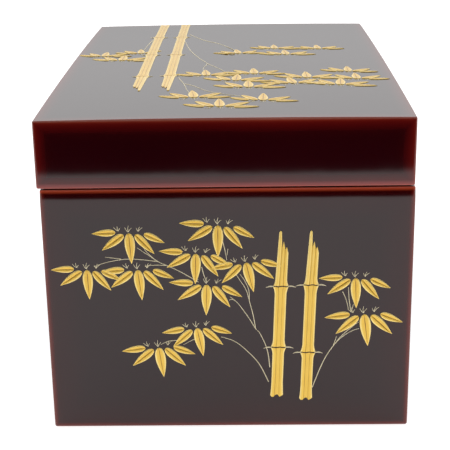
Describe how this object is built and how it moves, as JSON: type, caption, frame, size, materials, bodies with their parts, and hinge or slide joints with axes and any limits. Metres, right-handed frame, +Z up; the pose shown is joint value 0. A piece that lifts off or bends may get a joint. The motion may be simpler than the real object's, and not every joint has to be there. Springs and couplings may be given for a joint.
{
  "type": "tea ceremony box",
  "caption": "Long lacquered box with a flush lift-off lid, an inner rim, a hanging lift-out tray, and raised gold bamboo on its front end and lid.",
  "frame": {"origin": "middle of the base, on the table", "axes": "+Z up, the decorated short end faces -Y, +X to the right seen from that end, the long sides run along Y"},
  "size_m": [0.146, 0.2286, 0.1313],
  "materials": {
    "wine_lacquer": "deep gloss translucent wine-brown lacquer over vermilion, redder where it is thin along the edges",
    "inner_lacquer": "satin black-brown lacquer",
    "peg_wood": "bare hardwood, lacquered over at its head",
    "gold": "raised gold powder, satin"
  },
  "bodies": {
    "box_body": {"body_bottom_board": "wine_lacquer", "body_front_board": "wine_lacquer", "body_back_board": "wine_lacquer", "body_left_board": "wine_lacquer", "body_right_board": "wine_lacquer", "body_corner_pegs": "peg_wood", "rim_front_strip": "inner_lacquer", "rim_back_strip": "inner_lacquer", "rim_left_strip": "inner_lacquer", "rim_right_strip": "inner_lacquer", "front_gold_culms": "gold", "front_gold_leaves": "gold"},
    "tray": {"tray_bottom_board": "inner_lacquer", "tray_front_board": "inner_lacquer", "tray_back_board": "inner_lacquer", "tray_left_board": "inner_lacquer", "tray_right_board": "inner_lacquer", "tray_front_hanger": "inner_lacquer", "tray_back_hanger": "inner_lacquer", "tray_left_hanger": "inner_lacquer", "tray_right_hanger": "inner_lacquer"},
    "lid": {"lid_top_board": "wine_lacquer", "lid_front_board": "wine_lacquer", "lid_back_board": "wine_lacquer", "lid_left_board": "wine_lacquer", "lid_right_board": "wine_lacquer", "lid_corner_pegs": "peg_wood", "lid_gold_culms": "gold", "lid_gold_leaves": "gold"}
  },
  "joints": [
    {"name": "tray_lift", "type": "slide", "parent": "box_body", "child": "tray", "axis": [0, 0, 1], "range_m": [0, 0.12]},
    {"name": "lid_lift", "type": "slide", "parent": "tray", "child": "lid", "axis": [0, 0, 1], "range_m": [0, 0.12]}
  ]
}
